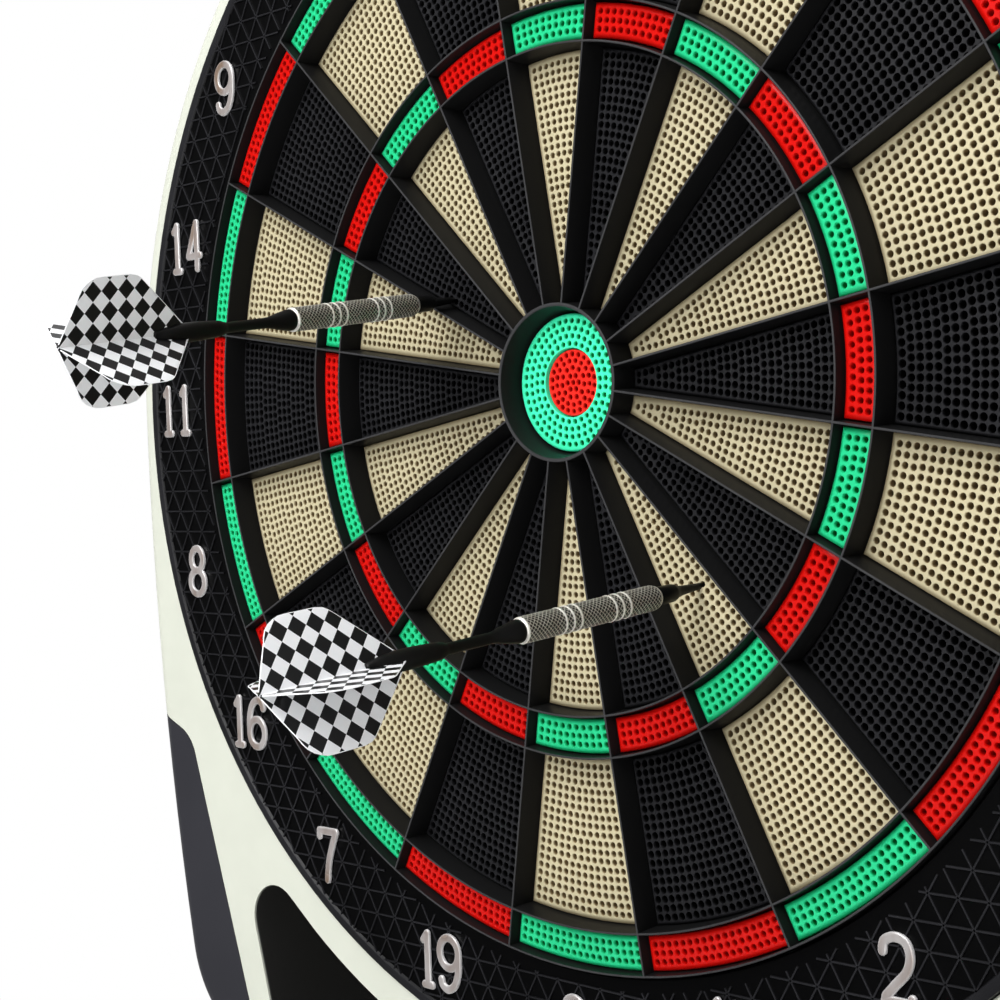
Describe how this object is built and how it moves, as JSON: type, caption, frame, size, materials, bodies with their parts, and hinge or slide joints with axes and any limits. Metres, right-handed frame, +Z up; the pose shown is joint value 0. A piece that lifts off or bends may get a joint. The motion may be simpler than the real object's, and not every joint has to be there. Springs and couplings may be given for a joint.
{
  "type": "electronic dartboard",
  "caption": "Wall-hung soft-tip electronic dartboard: ivory housing, sprung perforated scoring segments, catch ring with numerals, control window and removable darts.",
  "frame": {"origin": "on the back face, behind the centre of the bull", "axes": "+Z up the board, -Y out of the target towards the player, +X to the player's right"},
  "size_m": [0.436, 0.1776, 0.4892],
  "materials": {
    "ivory_plastic": "fine satin moulded plastic",
    "rear_plastic": "fine texture",
    "black_plastic": "satin",
    "segment_black": "satin",
    "segment_cream": "satin",
    "segment_red": "satin",
    "segment_green": "satin",
    "trim_grey": "satin",
    "window_gloss": "polished smoked panel",
    "button_rubber": "matt",
    "membrane_film": "printed film",
    "foam": "open foam",
    "circuit_board": "solder mask",
    "display": "liquid crystal",
    "speaker_cone": "paper cone",
    "battery_skin": "plain sleeve",
    "contact_metal": "plated",
    "dart_plastic": "satin",
    "dart_barrel": "knurled",
    "flight_film": "printed checks",
    "numeral_metal": "plated numerals",
    "screw_steel": "zinc"
  },
  "bodies": {
    "root": {"front_housing": "ivory_plastic", "rear_cover": "rear_plastic", "catch_ring": "black_plastic", "segment_frame": "black_plastic", "matrix_membrane": "membrane_film", "foam_pad": "foam", "main_board": "circuit_board", "speaker": "speaker_cone", "display_window": "window_gloss", "display_module": "display", "side_trim_left": "trim_grey", "side_trim_right": "trim_grey", "button_pad": "button_rubber", "battery_1": "battery_skin", "battery_2": "battery_skin", "battery_3": "battery_skin", "battery_contacts": "contact_metal", "dc_jack": "black_plastic"},
    "dart_1": {"dart_1_tip": "dart_plastic", "dart_1_barrel": "dart_barrel", "dart_1_shaft": "dart_plastic", "dart_1_flight": "flight_film"},
    "dart_2": {"dart_2_tip": "dart_plastic", "dart_2_barrel": "dart_barrel", "dart_2_shaft": "dart_plastic", "dart_2_flight": "flight_film"},
    "battery_door": {"battery_door": "rear_plastic"},
    "power_switch": {"power_switch": "black_plastic"},
    "button_1": {"button_1": "button_rubber"},
    "button_2": {"button_2": "button_rubber"},
    "button_3": {"button_3": "button_rubber"},
    "button_4": {"button_4": "button_rubber"},
    "button_5": {"button_5": "button_rubber"},
    "button_6": {"button_6": "button_rubber"},
    "outer_bull": {"outer_bull": "segment_green"},
    "inner_bull": {"inner_bull": "segment_red"},
    "triples_red": {"triples_red": "segment_red"},
    "triples_green": {"triples_green": "segment_green"},
    "doubles_red": {"doubles_red": "segment_red"},
    "doubles_green": {"doubles_green": "segment_green"},
    "single_20": {"single_20": "segment_cream"},
    "single_1": {"single_1": "segment_black"},
    "single_18": {"single_18": "segment_cream"},
    "single_4": {"single_4": "segment_black"},
    "single_13": {"single_13": "segment_cream"},
    "single_6": {"single_6": "segment_black"},
    "single_10": {"single_10": "segment_cream"},
    "single_15": {"single_15": "segment_black"},
    "single_2": {"single_2": "segment_cream"},
    "single_17": {"single_17": "segment_black"},
    "single_3": {"single_3": "segment_cream"},
    "single_19": {"single_19": "segment_black"},
    "single_7": {"single_7": "segment_cream"},
    "single_16": {"single_16": "segment_black"},
    "single_8": {"single_8": "segment_cream"},
    "single_11": {"single_11": "segment_black"},
    "single_14": {"single_14": "segment_cream"},
    "single_9": {"single_9": "segment_black"},
    "single_12": {"single_12": "segment_cream"},
    "single_5": {"single_5": "segment_black"}
  },
  "joints": [
    {"name": "dart_1_pull", "type": "slide", "parent": "single_9", "child": "dart_1", "axis": [0.0882, -0.9884, -0.1236], "range_m": [0, 0.06]},
    {"name": "dart_2_pull", "type": "slide", "parent": "single_2", "child": "dart_2", "axis": [-0.0174, -0.996, -0.0872], "range_m": [0, 0.06]},
    {"name": "battery_door_hinge", "type": "hinge", "parent": "root", "child": "battery_door", "pos_m": [0.07, 0, -0.1888], "axis": [1, 0, 0], "range_deg": [0, 100]},
    {"name": "power_switch_slide", "type": "slide", "parent": "root", "child": "power_switch", "axis": [1, 0, 0], "range_m": [0, 0.004]},
    {"name": "button_1_press", "type": "slide", "parent": "root", "child": "button_1", "axis": [0, 1, 0], "range_m": [0, 0.0015], "stiffness_N_per_m": 600, "springref_m": -0.0005},
    {"name": "button_2_press", "type": "slide", "parent": "root", "child": "button_2", "axis": [0, 1, 0], "range_m": [0, 0.0015], "stiffness_N_per_m": 600, "springref_m": -0.0005},
    {"name": "button_3_press", "type": "slide", "parent": "root", "child": "button_3", "axis": [0, 1, 0], "range_m": [0, 0.0015], "stiffness_N_per_m": 600, "springref_m": -0.0005},
    {"name": "button_4_press", "type": "slide", "parent": "root", "child": "button_4", "axis": [0, 1, 0], "range_m": [0, 0.0015], "stiffness_N_per_m": 600, "springref_m": -0.0005},
    {"name": "button_5_press", "type": "slide", "parent": "root", "child": "button_5", "axis": [0, 1, 0], "range_m": [0, 0.0015], "stiffness_N_per_m": 600, "springref_m": -0.0005},
    {"name": "button_6_press", "type": "slide", "parent": "root", "child": "button_6", "axis": [0, 1, 0], "range_m": [0, 0.0015], "stiffness_N_per_m": 600, "springref_m": -0.0005},
    {"name": "outer_bull_press", "type": "slide", "parent": "root", "child": "outer_bull", "axis": [0, 1, 0], "range_m": [0, 0.0015], "stiffness_N_per_m": 800, "springref_m": -0.0005},
    {"name": "inner_bull_press", "type": "slide", "parent": "root", "child": "inner_bull", "axis": [0, 1, 0], "range_m": [0, 0.0015], "stiffness_N_per_m": 800, "springref_m": -0.0005},
    {"name": "triples_red_press", "type": "slide", "parent": "root", "child": "triples_red", "axis": [0, 1, 0], "range_m": [0, 0.0015], "stiffness_N_per_m": 800, "springref_m": -0.0005},
    {"name": "triples_green_press", "type": "slide", "parent": "root", "child": "triples_green", "axis": [0, 1, 0], "range_m": [0, 0.0015], "stiffness_N_per_m": 800, "springref_m": -0.0005},
    {"name": "doubles_red_press", "type": "slide", "parent": "root", "child": "doubles_red", "axis": [0, 1, 0], "range_m": [0, 0.0015], "stiffness_N_per_m": 800, "springref_m": -0.0005},
    {"name": "doubles_green_press", "type": "slide", "parent": "root", "child": "doubles_green", "axis": [0, 1, 0], "range_m": [0, 0.0015], "stiffness_N_per_m": 800, "springref_m": -0.0005},
    {"name": "single_20_press", "type": "slide", "parent": "root", "child": "single_20", "axis": [0, 1, 0], "range_m": [0, 0.0015], "stiffness_N_per_m": 800, "springref_m": -0.0005},
    {"name": "single_1_press", "type": "slide", "parent": "root", "child": "single_1", "axis": [0, 1, 0], "range_m": [0, 0.0015], "stiffness_N_per_m": 800, "springref_m": -0.0005},
    {"name": "single_18_press", "type": "slide", "parent": "root", "child": "single_18", "axis": [0, 1, 0], "range_m": [0, 0.0015], "stiffness_N_per_m": 800, "springref_m": -0.0005},
    {"name": "single_4_press", "type": "slide", "parent": "root", "child": "single_4", "axis": [0, 1, 0], "range_m": [0, 0.0015], "stiffness_N_per_m": 800, "springref_m": -0.0005},
    {"name": "single_13_press", "type": "slide", "parent": "root", "child": "single_13", "axis": [0, 1, 0], "range_m": [0, 0.0015], "stiffness_N_per_m": 800, "springref_m": -0.0005},
    {"name": "single_6_press", "type": "slide", "parent": "root", "child": "single_6", "axis": [0, 1, 0], "range_m": [0, 0.0015], "stiffness_N_per_m": 800, "springref_m": -0.0005},
    {"name": "single_10_press", "type": "slide", "parent": "root", "child": "single_10", "axis": [0, 1, 0], "range_m": [0, 0.0015], "stiffness_N_per_m": 800, "springref_m": -0.0005},
    {"name": "single_15_press", "type": "slide", "parent": "root", "child": "single_15", "axis": [0, 1, 0], "range_m": [0, 0.0015], "stiffness_N_per_m": 800, "springref_m": -0.0005},
    {"name": "single_2_press", "type": "slide", "parent": "root", "child": "single_2", "axis": [0, 1, 0], "range_m": [0, 0.0015], "stiffness_N_per_m": 800, "springref_m": -0.0005},
    {"name": "single_17_press", "type": "slide", "parent": "root", "child": "single_17", "axis": [0, 1, 0], "range_m": [0, 0.0015], "stiffness_N_per_m": 800, "springref_m": -0.0005},
    {"name": "single_3_press", "type": "slide", "parent": "root", "child": "single_3", "axis": [0, 1, 0], "range_m": [0, 0.0015], "stiffness_N_per_m": 800, "springref_m": -0.0005},
    {"name": "single_19_press", "type": "slide", "parent": "root", "child": "single_19", "axis": [0, 1, 0], "range_m": [0, 0.0015], "stiffness_N_per_m": 800, "springref_m": -0.0005},
    {"name": "single_7_press", "type": "slide", "parent": "root", "child": "single_7", "axis": [0, 1, 0], "range_m": [0, 0.0015], "stiffness_N_per_m": 800, "springref_m": -0.0005},
    {"name": "single_16_press", "type": "slide", "parent": "root", "child": "single_16", "axis": [0, 1, 0], "range_m": [0, 0.0015], "stiffness_N_per_m": 800, "springref_m": -0.0005},
    {"name": "single_8_press", "type": "slide", "parent": "root", "child": "single_8", "axis": [0, 1, 0], "range_m": [0, 0.0015], "stiffness_N_per_m": 800, "springref_m": -0.0005},
    {"name": "single_11_press", "type": "slide", "parent": "root", "child": "single_11", "axis": [0, 1, 0], "range_m": [0, 0.0015], "stiffness_N_per_m": 800, "springref_m": -0.0005},
    {"name": "single_14_press", "type": "slide", "parent": "root", "child": "single_14", "axis": [0, 1, 0], "range_m": [0, 0.0015], "stiffness_N_per_m": 800, "springref_m": -0.0005},
    {"name": "single_9_press", "type": "slide", "parent": "root", "child": "single_9", "axis": [0, 1, 0], "range_m": [0, 0.0015], "stiffness_N_per_m": 800, "springref_m": -0.0005},
    {"name": "single_12_press", "type": "slide", "parent": "root", "child": "single_12", "axis": [0, 1, 0], "range_m": [0, 0.0015], "stiffness_N_per_m": 800, "springref_m": -0.0005},
    {"name": "single_5_press", "type": "slide", "parent": "root", "child": "single_5", "axis": [0, 1, 0], "range_m": [0, 0.0015], "stiffness_N_per_m": 800, "springref_m": -0.0005}
  ]
}
